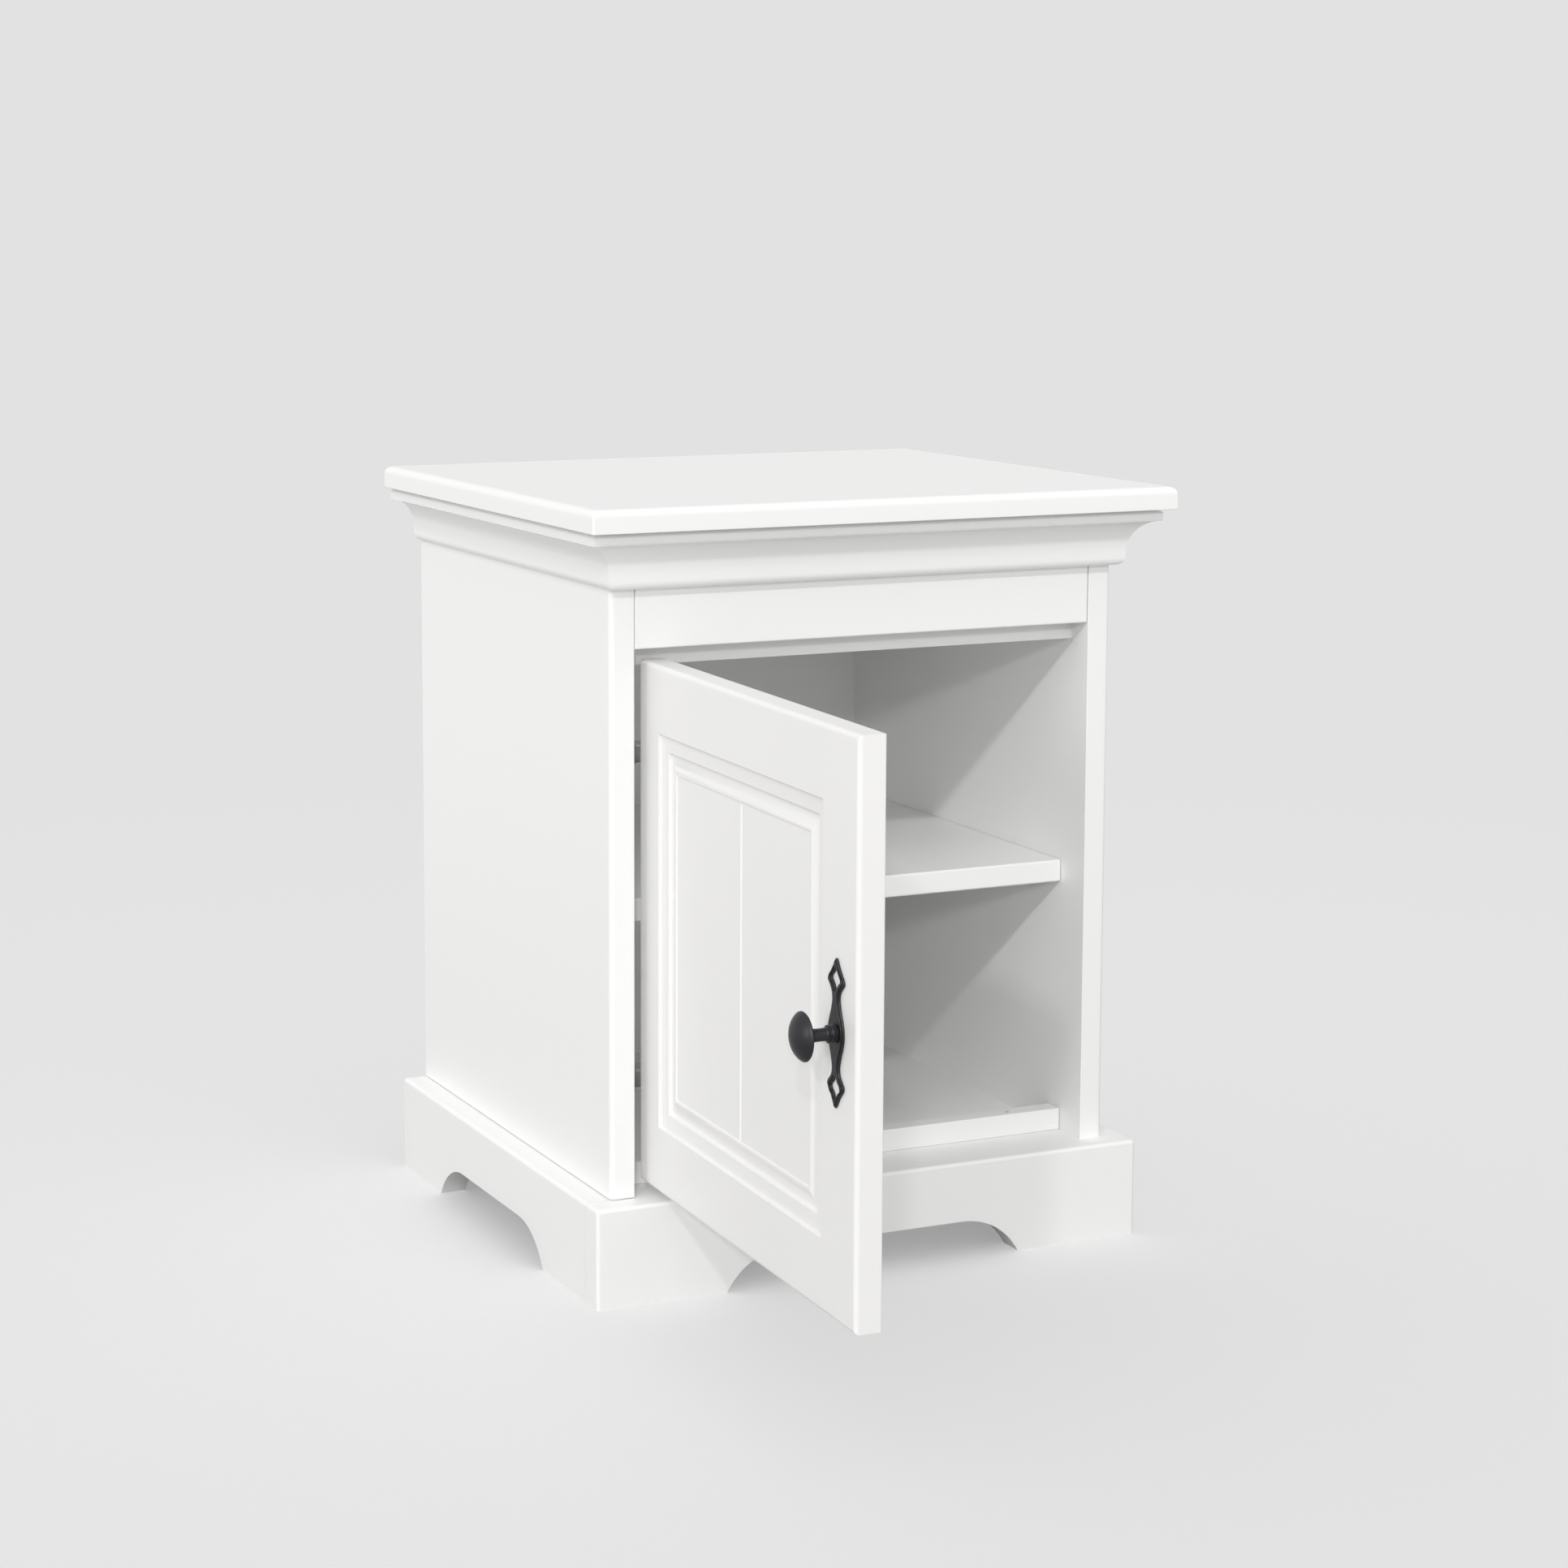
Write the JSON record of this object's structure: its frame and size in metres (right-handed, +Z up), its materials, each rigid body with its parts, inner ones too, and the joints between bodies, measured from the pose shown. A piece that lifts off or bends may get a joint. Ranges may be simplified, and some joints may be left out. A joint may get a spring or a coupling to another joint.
{
  "type": "nightstand",
  "caption": "Low bedside cabinet with a moulded cornice, an arched plinth, a loose shelf and a side-hung milled door with a mushroom knob.",
  "frame": {"origin": "on the floor, at the middle of the box round the whole object as it stands in the picture, with the door open", "axes": "+X to the viewer's right along the front, +Y from the front to the back, +Z up"},
  "size_m": [0.5, 0.7758, 0.61],
  "materials": {
    "white_lacquer": "satin",
    "white_board": "matte",
    "beech": "matte",
    "black_iron": "satin",
    "zinc_steel": "satin"
  },
  "bodies": {
    "carcass": {"top_board": "white_lacquer", "cornice_front": "white_lacquer", "cornice_left": "white_lacquer", "cornice_right": "white_lacquer", "front_rail": "white_lacquer", "ceiling_board": "white_lacquer", "side_panel_left": "white_lacquer", "side_panel_right": "white_lacquer", "back_panel": "white_board", "floor_board": "white_lacquer", "shelf": "white_lacquer", "shelf_pins": "zinc_steel", "lower_stop": "white_lacquer", "lower_stop_screws": "zinc_steel", "plinth_front": "white_lacquer", "plinth_left": "white_lacquer", "plinth_right": "white_lacquer", "plinth_back_rail": "white_lacquer", "plinth_blocks": "beech", "rear_stretcher": "white_lacquer", "floor_dowels": "beech", "top_dowels": "beech", "ceiling_dowels": "beech", "back_screws": "zinc_steel", "hinge_plates": "zinc_steel", "hinge_plate_screws": "zinc_steel", "hinge_arms": "zinc_steel", "hinge_pins": "zinc_steel"},
    "door": {"door_panel": "white_lacquer", "hinge_cups": "zinc_steel", "hinge_cup_screws": "zinc_steel", "knob_backplate": "black_iron", "door_knob": "black_iron", "knob_screw": "zinc_steel"},
    "inner_link_pair": {"inner_links": "zinc_steel"},
    "outer_link_pair": {"outer_links": "zinc_steel"}
  },
  "joints": [
    {"name": "door_hinge", "type": "hinge", "parent": "carcass", "child": "door", "pos_m": [-0.1815, -0.01159, 0.289], "axis": [0, 0, 1], "range_deg": [-12.6, 92.4]},
    {"name": "inner_link_turn", "type": "hinge", "parent": "carcass", "child": "inner_link_pair", "pos_m": [-0.16327, 0.0041, 0.289], "axis": [0, 0, 1], "range_deg": [-63.99, 8.73]},
    {"name": "outer_link_turn", "type": "hinge", "parent": "carcass", "child": "outer_link_pair", "pos_m": [-0.1621, 0.01188, 0.289], "axis": [0, 0, 1], "range_deg": [-33.97, 4.63]}
  ],
  "couplings": [
    {"joint": "inner_link_turn", "follows": "door_hinge", "ratio": -0.69258},
    {"joint": "outer_link_turn", "follows": "door_hinge", "ratio": -0.36763}
  ]
}
